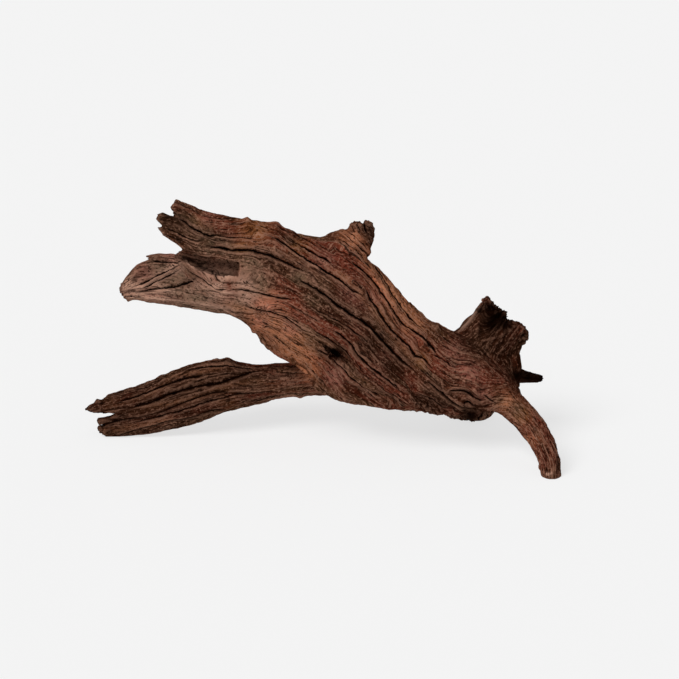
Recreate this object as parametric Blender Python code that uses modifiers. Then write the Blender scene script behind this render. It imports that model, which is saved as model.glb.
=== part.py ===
"""Driftwood: one water-worn root stock that stands on the tips of a branch, a root and a heel.

It grew as one piece, so it is one solid. Its limbs are lofted, grown together, carved along the grain,
and broken or sawn off at their ends. Units are metres, +Z is up, and -Y is the front.
"""
import math

import bmesh
import bpy
import numpy as np
from mathutils import Matrix, Vector
from mathutils.bvhtree import BVHTree

MM = 0.001

# Driving dimensions
LENGTH = 357 * MM           # from the tip of the left branch to the right root
TRIANGLES = 9600            # of the grown wood, before its ends are broken off
GROWTH_GRID = 1.8 * MM      # the grid on which the limbs grow together
GROWTH_ROUNDS = 8           # how far the forks between them are filled
FURROW_WIDTH = 2.2 * MM
BARK_WAVE = 0.03            # how far a limb's section waves in and out of its oval

# The wood is drawn as it is seen from in front and a little above: a place is a point (across, down) of
# that drawing, in points, and its distance back from what is looked at, in millimetres.
DRAWN_LENGTH = 476
POINT = LENGTH / DRAWN_LENGTH
DRAWN_MIDDLE = 339.5
LOOK_DOWN = math.radians(20)
LOOK_FROM = 1300 * MM
LOOK_AT = np.array([17.4, -24.7, 95]) * MM

AHEAD = np.array([0, math.cos(LOOK_DOWN), -math.sin(LOOK_DOWN)])
UP = np.array([0, math.sin(LOOK_DOWN), math.cos(LOOK_DOWN)])
ACROSS = np.array([1, 0, 0])
EYE = LOOK_AT - AHEAD * LOOK_FROM

# Limbs: across, down, back, half width as drawn, half depth
TRUNK = [
    (205, 244, 22, 24, 19),
    (238, 266, 25, 32, 29),
    (275, 281, 28, 39.5, 36),
    (312, 299, 32, 48, 40),
    (345, 324, 34, 49, 40),
    (380, 353, 32, 41.5, 36),
    (427, 367, 28, 34, 31),
    (465, 378, 22, 30, 27),
    (496, 391, 14, 18, 18),
    (510, 404, 5, 11, 12),
    (523, 416.5, -6, 10, 10),
    (533.5, 429, -15, 9.5, 9.5),
    (541.5, 442, -24, 9, 9),
    (547, 454, -30, 8.5, 8.5),
    (550, 466, -34, 8, 8),
    (551.5, 486, -38, 8, 8),
]
SLAB = [
    (150, 208, 11, 12, 5),
    (172, 218, 13, 14.5, 7),
    (195, 229.5, 15, 16, 10.5),
    (235, 244, 20, 19.5, 18),
    (262, 253, 24, 24, 24),
    (290, 268, 30, 25, 25),
    (325, 290, 34, 20, 22),
]
LIP = [
    (178, 254, 10, 4, 5),
    (193, 267, 13, 8.5, 10),
    (218, 281, 16, 13.5, 16),
    (250, 292, 22, 20, 24),
    (290, 306, 32, 22, 27),
    (320, 320, 36, 18, 22),
]
SPOON = [
    (118, 290, 46, 6, 5),
    (126, 286, 46, 12, 10),
    (143, 279, 46, 18, 14),
    (172, 279, 46, 20, 16.5),
    (205, 287, 45, 18, 17),
    (240, 296, 41, 16, 18),
    (275, 304, 38, 18, 20),
]
BRANCH = [
    (82, 421, 43, 13, 6.5),
    (110, 415.5, 45, 17, 10.5),
    (150, 407.5, 47, 20, 13),
    (190, 395, 50, 22.5, 14),
    (222, 386, 52, 21, 14),
    (252, 384.5, 54, 16, 13),
    (282, 380.5, 56, 14, 13),
    (312, 378, 54, 13.5, 15),
    (345, 372, 46, 19, 19),
]
KNOB = [
    (335, 272, 37, 30, 25),
    (347, 251, 36, 20.5, 15),
    (360, 236, 34, 11, 10),
    (364, 216, 32, 9, 8),
]
STUB = [
    (466, 374, 29, 29, 22),
    (484, 346, 34, 24.5, 18),
    (499, 328, 39, 22.5, 14),
    (511, 311, 44, 23, 11),
]
SHOULDER = [
    (350, 290, 33, 16, 16),
    (372, 298, 30, 18, 18),
    (395, 317, 28, 15.5, 18),
    (425, 340, 26, 14, 17),
    (455, 358, 25, 19, 19),
]
KNEE = [
    (262, 321, 26, 9, 14),
    (278, 335, 28, 13, 16),
    (300, 348, 30, 14, 18),
]
BELLY = [
    (318, 372, 34, 13, 18),
    (350, 384, 33, 14.5, 20),
    (390, 382, 30, 16.5, 20),
]
FLANK = [
    (470, 366, 26, 22, 20),
    (500, 369, 28, 16, 15),
    (518, 369, 30, 14.5, 11),
]
SPIKE = [
    (498, 372, 46, 10, 10),
    (520, 375.5, 57, 5.5, 7),
    (542, 378.5, 69, 3.2, 3.2),
]
HEEL = [
    (455, 385, 38, 24, 22),
    (468, 397, 60, 18, 18),
    (477, 407, 78, 12, 13),
    (480, 414, 86, 10.5, 11),
]
SCAR_BEHIND = [
    (307, 312, 55, 16, 16),
    (301, 300, 71, 10, 10),
    (297, 293, 80, 7.5, 7.5),
]
LIMBS = [TRUNK, SLAB, LIP, SPOON, BRANCH, KNOB, STUB, SHOULDER, KNEE, BELLY, FLANK, SPIKE, HEEL, SCAR_BEHIND]

# Hollows that rot has opened, in the same columns
SLOT = [
    (168, 250, -2, 2.5, 11),
    (186, 257.5, 0, 3.8, 12),
    (200, 262.5, 2, 4.8, 12),
    (214, 266, 3, 5.4, 12),
    (229, 268.5, 4, 5.6, 12),
    (239, 269.5, 4, 5.4, 12),
]
SPOON_BOWL = [
    (129, 285, 29, 3, 6),
    (145, 278, 29, 9, 9),
    (170, 274, 28, 12, 10),
    (195, 271, 27, 10, 9),
    (215, 270, 26, 6, 6),
]
KNOT_HOLE = [
    (326, 347, -6, 1.8, 3),
    (335, 353, -3, 4.2, 9),
    (344, 359, -3, 1.8, 3),
]
STRAND_HOLLOW = [
    (296, 286, -7, 1, 2),
    (311, 292, -7, 3, 4),
    (326, 301, -7, 1, 2),
]
STUB_HOLLOW = [
    (480, 338, 17, 3, 4),
    (488, 328, 22, 10, 9),
    (497, 317, 27, 15, 12),
    (510, 303, 32, 18, 13),
]
HOLLOWS = [SLOT, SPOON_BOWL, KNOT_HOLE, STRAND_HOLLOW, STUB_HOLLOW]

# Torn ends: what is missing is the drawn outline, cut straight through between two distances back
SLAB_END = (-10, 60, [
    (140, 190), (172, 192), (176, 199), (172, 204), (171, 207), (174, 214), (177, 217), (170, 216),
    (162, 213), (157, 214), (157, 220), (163, 226.5), (158, 228), (164, 234), (140, 242)])
SPOON_END = (32, 75, [
    (105, 245), (140, 240), (164, 251), (150, 253), (146, 255.5), (151, 259), (143, 262.5),
    (137, 266), (131, 272), (126, 278), (122, 283), (120.5, 291), (127, 299.5), (110, 310)])
BRANCH_END = (30, 70, [
    (70, 380), (112, 385), (110, 393), (101, 401), (91, 405), (86, 409), (93, 412), (104, 412.5),
    (118, 413.5), (107, 418), (98, 420), (99, 423), (108, 424.5), (98, 427), (99, 430), (106, 437),
    (95, 450), (70, 450)])
BRANCH_STEP = (38, 70, [
    (238.5, 350), (239, 359.5), (247, 360.5), (251, 364), (262, 362), (268, 350)])
KNOB_TOP = (15, 50, [
    (335, 200), (346, 227), (351, 224.5), (354, 222), (360, 221.5), (362, 224.5), (365, 221),
    (371, 223), (374, 228), (385, 215), (375, 200)])
STUB_TOP = (20, 75, [
    (468, 285), (480, 290), (481, 297), (488, 298), (492, 303), (497, 309), (501, 310), (506, 313),
    (504, 318), (512, 322), (520, 324), (529, 335), (528, 338), (520, 348), (545, 345), (540, 285)])
TORN_ENDS = [SLAB_END, SPOON_END, BRANCH_END, BRANCH_STEP, KNOB_TOP, STUB_TOP]

# Furrows between the strands of the grain: depth, then the line as drawn
FURROWS = [
    (2.4, [(200, 245), (223, 248), (251, 250), (270, 255), (288, 262), (310, 275)]),
    (2.0, [(260, 232), (279, 239), (298, 253), (326, 271), (350, 288), (368, 303)]),
    (3.0, [(288, 272), (310, 285), (330, 298), (350, 313), (370, 326), (390, 348), (411, 368), (423, 379)]),
    (2.2, [(340, 254), (360, 267), (377, 284), (392, 307), (406, 326), (427, 340), (445, 361)]),
    (2.0, [(355, 279), (371, 299), (391, 328), (409, 346), (431, 367)]),
    (2.2, [(320, 325), (340, 334), (357, 355), (381, 375), (409, 394)]),
    (2.6, [(312, 346), (336, 364), (357, 385), (387, 400)]),
    (1.8, [(225, 289), (260, 293), (300, 303)]),
    (1.8, [(233, 303), (265, 311), (295, 325), (315, 336)]),
    (2.2, [(125, 413), (163, 396), (219, 385), (252, 371), (286, 368)]),
]
FURROWS_BEHIND = [
    (2.4, [(205, 235), (240, 240), (275, 255), (305, 275), (335, 300), (365, 330)]),
    (2.2, [(235, 262), (262, 275), (285, 292), (318, 330), (355, 352), (395, 372)]),
    (2.6, [(265, 240), (300, 252), (330, 270), (360, 292), (385, 320), (415, 345)]),
    (2.0, [(285, 325), (310, 350), (345, 376), (385, 392)]),
    (2.2, [(395, 322), (430, 343), (455, 358), (480, 372)]),
    (2.0, [(120, 405), (160, 395), (200, 388), (240, 385)]),
    (1.8, [(140, 285), (175, 283), (210, 290)]),
]


def seen(across, down, back):
    """The place that is drawn at (across, down) and lies back millimetres behind LOOK_AT."""
    ray = AHEAD * LOOK_FROM + (ACROSS * (across - DRAWN_MIDDLE) + UP * (DRAWN_MIDDLE - down)) * POINT
    return EYE + ray * (LOOK_AT[1] + back * MM - EYE[1]) / ray[1]


def smooth_line(rows, gap):
    """A Catmull-Rom curve through the rows, with a row about every gap."""
    rows = np.array(rows, float)
    ends = np.vstack([2 * rows[0] - rows[1], rows, 2 * rows[-1] - rows[-2]])
    made = []
    for a, b, c, d in zip(ends, ends[1:], ends[2:], ends[3:]):
        steps = max(1, round(np.linalg.norm((c - b)[:3]) / gap))
        t = np.arange(steps)[:, None] / steps
        made.append(b + 0.5 * t * (c - a + t * (2 * a - 5 * b + 4 * c - d + t * (3 * b - a - 3 * c + d))))
    return np.vstack(made + [rows[-1:]])


def loft(bm, rows, wave=0.0, segments=32, gap=5 * MM):
    """A closed tube of oval sections along the rows of a limb or a hollow."""
    path = smooth_line([[*seen(*row[:3]), row[3] * MM, row[4] * MM] for row in rows], gap)
    along = np.gradient(path[:, :3], axis=0)
    along /= np.linalg.norm(along, axis=1)[:, None]
    depth = AHEAD - (along @ AHEAD)[:, None] * along
    depth /= np.linalg.norm(depth, axis=1)[:, None]
    width = np.cross(depth, along)
    edges = []
    for i, (x, y, z, half_width, half_depth) in enumerate(path):
        end = i in (0, len(path) - 1)
        ring = bmesh.ops.create_circle(bm, cap_ends=end, radius=1, segments=segments)["verts"]
        for vert in ring:
            turn = math.atan2(vert.co.y, vert.co.x)
            swell = 1 + wave * (math.cos(3 * turn + 0.15 * i) + math.cos(5 * turn + 2 - 0.1 * i))
            offset = (width[i] * vert.co.x * half_width + depth[i] * vert.co.y * half_depth) * swell
            vert.co = Vector(np.array([x, y, z]) + offset)
        edges += {edge for vert in ring for edge in vert.link_edges}
    bmesh.ops.bridge_loops(bm, edges=edges)


def mesh_object(name, bm, collection):
    bmesh.ops.recalc_face_normals(bm, faces=bm.faces)
    mesh = bpy.data.meshes.new(name)
    bm.to_mesh(mesh)
    bm.free()
    made = bpy.data.objects.new(name, mesh)
    collection.objects.link(made)
    return made


def cutter(name, bm):
    made = mesh_object(name, bm, cutters)
    made.hide_render = True
    made.display_type = "WIRE"
    return made


def torn_away(near, far, outline):
    """What is missing at a torn end: a prism of the drawn outline, from near to far."""
    bm = bmesh.new()
    face = bm.faces.new([bm.verts.new(seen(across, down, near)) for across, down in outline])
    solid = bmesh.ops.extrude_face_region(bm, geom=[face])
    back = [item for item in solid["geom"] if isinstance(item, bmesh.types.BMVert)]
    spread = (LOOK_AT[1] + far * MM - EYE[1]) / (LOOK_AT[1] + near * MM - EYE[1])
    bmesh.ops.scale(bm, vec=(spread, spread, spread), space=Matrix.Translation(-Vector(EYE)), verts=back)
    return bm


def apply_modifiers(thing):
    """The object's mesh as its modifiers make it, in place of the modifiers."""
    bpy.context.view_layer.update()
    made = bpy.data.meshes.new_from_object(thing.evaluated_get(bpy.context.evaluated_depsgraph_get()))
    thing.modifiers.clear()
    thing.data = made


def laid_on(tree, line, behind):
    """The drawn line as points on the wood's front, or on its back, as the eye's rays meet it."""
    points = []
    for across, down in smooth_line(line, 1.5):
        ray = Vector(seen(across, down, 0) - EYE)
        start = Vector(EYE) + 2 * ray if behind else Vector(EYE)
        points.append(tree.ray_cast(start, -ray if behind else ray)[0])
    return np.array(points)


def carve(thing):
    """Presses the furrows into the wood, shallower towards both ends of each."""
    tree = BVHTree.FromObject(thing, bpy.context.evaluated_depsgraph_get())
    mesh = thing.data
    places = np.empty(len(mesh.vertices) * 3, np.float32)
    mesh.vertices.foreach_get("co", places)
    places = places.reshape(-1, 3)
    normals = np.array([vert.normal for vert in mesh.vertices])
    sunk = np.zeros(len(places))
    for lines, behind in ((FURROWS, False), (FURROWS_BEHIND, True)):
        for depth, line in lines:
            points = laid_on(tree, line, behind)
            from_end = np.minimum(np.arange(len(points)), np.arange(len(points))[::-1])
            fades = np.minimum(1, 4 * from_end / len(points))
            for point, fade in zip(points, fades):
                near = np.exp(-((places - point) ** 2).sum(1) / FURROW_WIDTH ** 2)
                sunk = np.maximum(sunk, near * fade * depth * MM)
    mesh.vertices.foreach_set("co", (places - normals * sunk[:, None]).ravel())
    mesh.update()


def wood_material():
    made = bpy.data.materials.new("weathered wood")
    made.use_nodes = True
    surface = made.node_tree.nodes["Principled BSDF"]
    surface.inputs["Base Color"].default_value = (0.088, 0.034, 0.020, 1)
    surface.inputs["Roughness"].default_value = 0.8
    surface.inputs["Metallic"].default_value = 0
    return made


for old in list(bpy.data.objects):
    bpy.data.objects.remove(old)
wood = bpy.data.collections.new("driftwood")
cutters = bpy.data.collections.new("cutters")
bpy.context.scene.collection.children.link(wood)
bpy.context.scene.collection.children.link(cutters)

# The limbs grow together
grown = bmesh.new()
for limb in LIMBS:
    loft(grown, limb, wave=BARK_WAVE)
driftwood = mesh_object("driftwood", grown, wood)
driftwood.data.materials.append(wood_material())
fuse = driftwood.modifiers.new("fuse", "REMESH")
fuse.mode = "VOXEL"
fuse.voxel_size = GROWTH_GRID
fill = driftwood.modifiers.new("fill forks", "SMOOTH")
fill.iterations = GROWTH_ROUNDS
apply_modifiers(driftwood)

# The furrows, then fewer faces
carve(driftwood)
driftwood.data.calc_loop_triangles()
thin = driftwood.modifiers.new("fewer faces", "DECIMATE")
thin.ratio = TRIANGLES / len(driftwood.data.loop_triangles)
apply_modifiers(driftwood)

# Hollows, torn ends, and the three flat spots that it stands on
missing = []
for hollow in HOLLOWS:
    rot = bmesh.new()
    loft(rot, hollow, segments=14, gap=6 * MM)
    missing.append(cutter("hollow", rot))
for near, far, outline in TORN_ENDS:
    missing.append(cutter("torn end", torn_away(near, far, outline)))
floor = bmesh.new()
bmesh.ops.create_cube(floor, size=1)
bmesh.ops.scale(floor, vec=(1, 1, 0.1), verts=floor.verts)
bmesh.ops.translate(floor, vec=(0, 0, -0.05), verts=floor.verts)
missing.append(cutter("floor", floor))
for gone in missing:
    cut = driftwood.modifiers.new(gone.name, "BOOLEAN")
    cut.operation = "DIFFERENCE"
    cut.object = gone
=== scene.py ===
import math

import bmesh
import bpy
import numpy as np
from mathutils import Matrix, Vector
from mathutils.bvhtree import BVHTree


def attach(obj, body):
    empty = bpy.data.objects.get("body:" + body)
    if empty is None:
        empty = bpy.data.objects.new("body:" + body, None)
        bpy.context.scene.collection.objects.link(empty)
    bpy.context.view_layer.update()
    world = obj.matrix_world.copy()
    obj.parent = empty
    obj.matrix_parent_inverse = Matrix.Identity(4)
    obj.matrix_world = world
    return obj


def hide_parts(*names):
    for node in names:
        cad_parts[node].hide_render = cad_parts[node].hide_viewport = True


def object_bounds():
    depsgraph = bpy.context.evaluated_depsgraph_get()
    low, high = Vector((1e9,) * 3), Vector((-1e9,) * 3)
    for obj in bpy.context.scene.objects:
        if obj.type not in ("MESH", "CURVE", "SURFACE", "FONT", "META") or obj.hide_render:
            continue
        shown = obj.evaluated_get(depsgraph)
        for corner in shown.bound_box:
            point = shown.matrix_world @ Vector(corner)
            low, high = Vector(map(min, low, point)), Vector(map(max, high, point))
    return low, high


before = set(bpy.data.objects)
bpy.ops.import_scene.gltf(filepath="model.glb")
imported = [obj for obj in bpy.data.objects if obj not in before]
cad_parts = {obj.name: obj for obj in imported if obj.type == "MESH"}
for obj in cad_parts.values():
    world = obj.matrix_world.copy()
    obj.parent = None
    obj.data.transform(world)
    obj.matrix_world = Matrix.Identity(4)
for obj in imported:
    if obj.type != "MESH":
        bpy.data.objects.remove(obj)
cad_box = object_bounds()

# The limbs.
# The wood is one root stock: a thick trunk that thins into a curved root, with broken slabs, a forked
# branch, stubs and a heel. Each limb is lofted through ovals, and a voxel grid grows them together.
MM = 0.001
LENGTH = 357 * MM           # from the tip of the left branch to the right root, as it is drawn
GROWTH_GRID = 1.8 * MM
GROWTH_ROUNDS = 8           # how far the forks between limbs are filled
BARK_WAVE = 0.03            # how far a limb's section waves in and out of its oval

# A place is a point (across, down) of the drawn front view, in points, and its distance back from
# LOOK_AT, in millimetres.
DRAWN_LENGTH = 476
POINT = LENGTH / DRAWN_LENGTH
DRAWN_MIDDLE = 339.5
LOOK_DOWN = math.radians(20)
LOOK_FROM = 1300 * MM
LOOK_AT = np.array([17.4, -24.7, 95]) * MM
AHEAD = np.array([0, math.cos(LOOK_DOWN), -math.sin(LOOK_DOWN)])
UP = np.array([0, math.sin(LOOK_DOWN), math.cos(LOOK_DOWN)])
ACROSS = np.array([1, 0, 0])
EYE = LOOK_AT - AHEAD * LOOK_FROM

# Each station: across, down, back, half width as drawn, half depth
TRUNK = [
    (205, 244, 22, 24, 19),
    (238, 266, 25, 32, 29),
    (275, 281, 28, 39.5, 36),
    (312, 299, 32, 48, 40),
    (345, 324, 34, 49, 40),
    (380, 353, 32, 41.5, 36),
    (427, 367, 28, 34, 31),
    (465, 378, 22, 30, 27),
    (496, 391, 14, 18, 18),
    (510, 404, 5, 11, 12),
    (523, 416.5, -6, 10, 10),
    (533.5, 429, -15, 9.5, 9.5),
    (541.5, 442, -24, 9, 9),
    (547, 454, -30, 8.5, 8.5),
    (550, 466, -34, 8, 8),
    (551.5, 486, -38, 8, 8),
]
SLAB = [
    (150, 208, 11, 12, 5),
    (172, 218, 13, 14.5, 7),
    (195, 229.5, 15, 16, 10.5),
    (235, 244, 20, 19.5, 18),
    (262, 253, 24, 24, 24),
    (290, 268, 30, 25, 25),
    (325, 290, 34, 20, 22),
]
LIP = [
    (178, 254, 10, 4, 5),
    (193, 267, 13, 8.5, 10),
    (218, 281, 16, 13.5, 16),
    (250, 292, 22, 20, 24),
    (290, 306, 32, 22, 27),
    (320, 320, 36, 18, 22),
]
SPOON = [
    (118, 290, 46, 6, 5),
    (126, 286, 46, 12, 10),
    (143, 279, 46, 18, 14),
    (172, 279, 46, 20, 16.5),
    (205, 287, 45, 18, 17),
    (240, 296, 41, 16, 18),
    (275, 304, 38, 18, 20),
]
BRANCH = [
    (82, 421, 43, 13, 6.5),
    (110, 415.5, 45, 17, 10.5),
    (150, 407.5, 47, 20, 13),
    (190, 395, 50, 22.5, 14),
    (222, 386, 52, 21, 14),
    (252, 384.5, 54, 16, 13),
    (282, 380.5, 56, 14, 13),
    (312, 378, 54, 13.5, 15),
    (345, 372, 46, 19, 19),
]
KNOB = [
    (335, 272, 37, 30, 25),
    (347, 251, 36, 20.5, 15),
    (360, 236, 34, 11, 10),
    (364, 216, 32, 9, 8),
]
STUB = [
    (466, 374, 29, 29, 22),
    (484, 346, 34, 24.5, 18),
    (499, 328, 39, 22.5, 14),
    (511, 311, 44, 23, 11),
]
SPIKE = [
    (498, 372, 46, 10, 10),
    (520, 375.5, 57, 5.5, 7),
    (542, 378.5, 69, 3.2, 3.2),
]
HEEL = [
    (455, 385, 38, 24, 22),
    (468, 397, 60, 18, 18),
    (477, 407, 78, 12, 13),
    (480, 414, 86, 10.5, 11),
]
SCAR_BEHIND = [
    (307, 312, 55, 16, 16),
    (301, 300, 71, 10, 10),
    (297, 293, 80, 7.5, 7.5),
]
SHOULDER = [
    (350, 290, 33, 16, 16),
    (372, 298, 30, 18, 18),
    (395, 317, 28, 15.5, 18),
    (425, 340, 26, 14, 17),
    (455, 358, 25, 19, 19),
]
KNEE = [
    (262, 321, 26, 9, 14),
    (278, 335, 28, 13, 16),
    (300, 348, 30, 14, 18),
]
BELLY = [
    (318, 372, 34, 13, 18),
    (350, 384, 33, 14.5, 20),
    (390, 382, 30, 16.5, 20),
]
FLANK = [
    (470, 366, 26, 22, 20),
    (500, 369, 28, 16, 15),
    (518, 369, 30, 14.5, 11),
]
BULGES = [SHOULDER, KNEE, BELLY, FLANK]
LIMBS = [TRUNK, SLAB, LIP, SPOON, BRANCH, KNOB, STUB, SPIKE, HEEL, SCAR_BEHIND]


def seen(across, down, back):
    """The place that is drawn at (across, down) and lies back millimetres behind LOOK_AT."""
    ray = AHEAD * LOOK_FROM + (ACROSS * (across - DRAWN_MIDDLE) + UP * (DRAWN_MIDDLE - down)) * POINT
    return EYE + ray * (LOOK_AT[1] + back * MM - EYE[1]) / ray[1]


def smooth_line(rows, gap):
    """A Catmull-Rom curve through the rows, with a row about every gap."""
    rows = np.array(rows, float)
    ends = np.vstack([2 * rows[0] - rows[1], rows, 2 * rows[-1] - rows[-2]])
    made = []
    for a, b, c, d in zip(ends, ends[1:], ends[2:], ends[3:]):
        steps = max(1, round(np.linalg.norm((c - b)[:3]) / gap))
        t = np.arange(steps)[:, None] / steps
        made.append(b + 0.5 * t * (c - a + t * (2 * a - 5 * b + 4 * c - d + t * (3 * b - a - 3 * c + d))))
    return np.vstack(made + [rows[-1:]])


def spine(stations, gap):
    """The limb's middle line and half sizes, and at each point the directions along, width and depth."""
    path = smooth_line([[*seen(*row[:3]), row[3] * MM, row[4] * MM] for row in stations], gap)
    along = np.gradient(path[:, :3], axis=0)
    along /= np.linalg.norm(along, axis=1)[:, None]
    depth = AHEAD - (along @ AHEAD)[:, None] * along
    depth /= np.linalg.norm(depth, axis=1)[:, None]
    return path, along, np.cross(depth, along), depth


def loft(bm, stations, wave=0.0, segments=32, gap=5 * MM):
    """A closed tube of oval sections along the stations of a limb or a hollow."""
    path, along, width, depth = spine(stations, gap)
    edges = []
    for i, (x, y, z, half_width, half_depth) in enumerate(path):
        end = i in (0, len(path) - 1)
        ring = bmesh.ops.create_circle(bm, cap_ends=end, radius=1, segments=segments)["verts"]
        for vert in ring:
            turn = math.atan2(vert.co.y, vert.co.x)
            swell = 1 + wave * (math.cos(3 * turn + 0.15 * i) + math.cos(5 * turn + 2 - 0.1 * i))
            offset = (width[i] * vert.co.x * half_width + depth[i] * vert.co.y * half_depth) * swell
            vert.co = Vector(np.array([x, y, z]) + offset)
        edges += {edge for vert in ring for edge in vert.link_edges}
    bmesh.ops.bridge_loops(bm, edges=edges)


def mesh_object(name, bm):
    bmesh.ops.recalc_face_normals(bm, faces=bm.faces)
    mesh = bpy.data.meshes.new(name)
    bm.to_mesh(mesh)
    bm.free()
    made = bpy.data.objects.new(name, mesh)
    bpy.context.scene.collection.objects.link(made)
    return made


def apply_modifiers(thing):
    """The object's mesh as its modifiers make it, in place of the modifiers."""
    bpy.context.view_layer.update()
    made = bpy.data.meshes.new_from_object(thing.evaluated_get(bpy.context.evaluated_depsgraph_get()))
    before = thing.data
    thing.modifiers.clear()
    thing.data = made
    bpy.data.meshes.remove(before)


def regrow(thing, grid, rounds):
    """Remeshes the object on a voxel grid, and smooths it."""
    fuse = thing.modifiers.new("fuse", "REMESH")
    fuse.mode = "VOXEL"
    fuse.voxel_size = grid
    fill = thing.modifiers.new("smooth", "SMOOTH")
    fill.iterations = rounds
    apply_modifiers(thing)


grown = bmesh.new()
for limb in LIMBS + BULGES:
    loft(grown, limb, wave=BARK_WAVE)
wood = mesh_object("driftwood_surface", grown)
regrow(wood, GROWTH_GRID, GROWTH_ROUNDS)

# The hollows and torn ends.
# Rot has opened a slot, a bowl, a knot hole, a gap between two strands and the stub's end. The slabs,
# branch, knob and stub broke off ragged, and three tips wore flat on the ground. All are cut from the
# grown wood, which is then regrown finer.
FINE_GRID = 0.65 * MM
FINE_ROUNDS = 2
SLOT = [
    (168, 250, -2, 2.5, 11),
    (186, 257.5, 0, 3.8, 12),
    (200, 262.5, 2, 4.8, 12),
    (214, 266, 2, 5.4, 11),
    (229, 268.5, 1, 5.6, 9),
    (239, 269.5, -1, 5.4, 7),
]
SPOON_BOWL = [
    (129, 285, 29, 3, 6),
    (145, 278, 29, 9, 9),
    (170, 274, 28, 12, 10),
    (195, 271, 27, 10, 9),
    (215, 270, 26, 6, 6),
]
KNOT_HOLE = [
    (323, 344.5, -7, 1.4, 2),
    (329, 349, -6, 3.2, 5),
    (336, 354, -5, 4.2, 7),
    (342, 359, -6, 3.0, 4),
    (347, 363, -7, 1.2, 2),
]
STRAND_HOLLOW = [
    (296, 286, -7, 1, 2),
    (311, 292, -7, 3, 4),
    (326, 301, -7, 1, 2),
]
STUB_HOLLOW = [
    (480, 338, 17, 3, 4),
    (488, 328, 22, 10, 9),
    (497, 317, 27, 15, 12),
    (510, 303, 32, 18, 13),
]
HOLLOWS = [SLOT, SPOON_BOWL, KNOT_HOLE, STRAND_HOLLOW, STUB_HOLLOW]

# What is missing at a torn end: the drawn outline, cut straight through between two distances back
SLAB_END = (-10, 60, [
    (140, 190), (172, 192), (176, 199), (172, 204), (171, 207), (174, 214), (177, 217), (170, 216),
    (162, 213), (157, 214), (157, 220), (163, 226.5), (158, 228), (164, 234), (140, 242)])
SPOON_END = (32, 75, [
    (105, 245), (140, 240), (164, 251), (150, 253), (146, 255.5), (151, 259), (143, 262.5),
    (137, 266), (131, 272), (126, 278), (122, 283), (120.5, 291), (127, 299.5), (110, 310)])
BRANCH_END = (30, 70, [
    (70, 380), (112, 385), (110, 393), (101, 401), (91, 405), (86, 409), (93, 412), (104, 412.5),
    (118, 413.5), (107, 418), (98, 420), (99, 423), (108, 424.5), (98, 427), (99, 430), (106, 437),
    (95, 450), (70, 450)])
BRANCH_STEP = (38, 70, [
    (238.5, 350), (239, 359.5), (247, 360.5), (251, 364), (262, 362), (268, 350)])
KNOB_TOP = (15, 50, [
    (335, 200), (346, 227), (351, 224.5), (354, 222), (360, 221.5), (362, 224.5), (365, 221),
    (371, 223), (374, 228), (385, 215), (375, 200)])
STUB_TOP = (20, 75, [
    (468, 285), (480, 290), (481, 297), (488, 298), (492, 303), (497, 309), (501, 310), (506, 313),
    (504, 318), (512, 322), (520, 324), (529, 335), (528, 338), (520, 348), (545, 345), (540, 285)])
TORN_ENDS = [SLAB_END, SPOON_END, BRANCH_END, BRANCH_STEP, KNOB_TOP, STUB_TOP]


def torn_away(near, far, outline):
    """What is missing at a torn end: a prism of the drawn outline, from near to far."""
    bm = bmesh.new()
    face = bm.faces.new([bm.verts.new(seen(across, down, near)) for across, down in outline])
    solid = bmesh.ops.extrude_face_region(bm, geom=[face])
    back = [item for item in solid["geom"] if isinstance(item, bmesh.types.BMVert)]
    spread = (LOOK_AT[1] + far * MM - EYE[1]) / (LOOK_AT[1] + near * MM - EYE[1])
    bmesh.ops.scale(bm, vec=(spread, spread, spread), space=Matrix.Translation(-Vector(EYE)), verts=back)
    return bm


missing = []
for hollow in HOLLOWS:
    rot = bmesh.new()
    loft(rot, hollow, segments=20, gap=3 * MM)
    missing.append(mesh_object("hollow", rot))
for near, far, outline in TORN_ENDS:
    missing.append(mesh_object("torn end", torn_away(near, far, outline)))
ground = bmesh.new()
bmesh.ops.create_cube(ground, size=1)
bmesh.ops.translate(ground, vec=(0, 0, -0.5), verts=ground.verts)
missing.append(mesh_object("ground", ground))
for gone in missing:
    cut = wood.modifiers.new(gone.name, "BOOLEAN")
    cut.operation = "DIFFERENCE"
    cut.object = gone
apply_modifiers(wood)
for gone in missing:
    bpy.data.objects.remove(gone)
regrow(wood, FINE_GRID, FINE_ROUNDS)

# The grain.
# Fibres run along every limb and sweep round the knots. Weather has opened the seams between their
# strands into furrows. Each point of the surface gets its place along and round the limbs, and the
# relief is worked out from that and pressed into the wood.
SHAPE_LIMIT = 196000        # triangles of the finished wood
STRAND = 9 * MM             # width of a strand of fibres, which splits into two cords
WAVER = 70 * MM             # length over which a strand wanders

# Knots that the grain sweeps round: across, down, behind, radius in millimetres
KNOTS = [
    (262, 313, False, 6),
    (257, 270, False, 3.5),
    (421, 351, False, 3),
    (335, 353, False, 6),
    (274, 371, False, 3.5),
    (298, 296, True, 11),
    (395, 340, True, 6),
    (230, 262, True, 5),
    (190, 396, True, 4),
]

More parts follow.
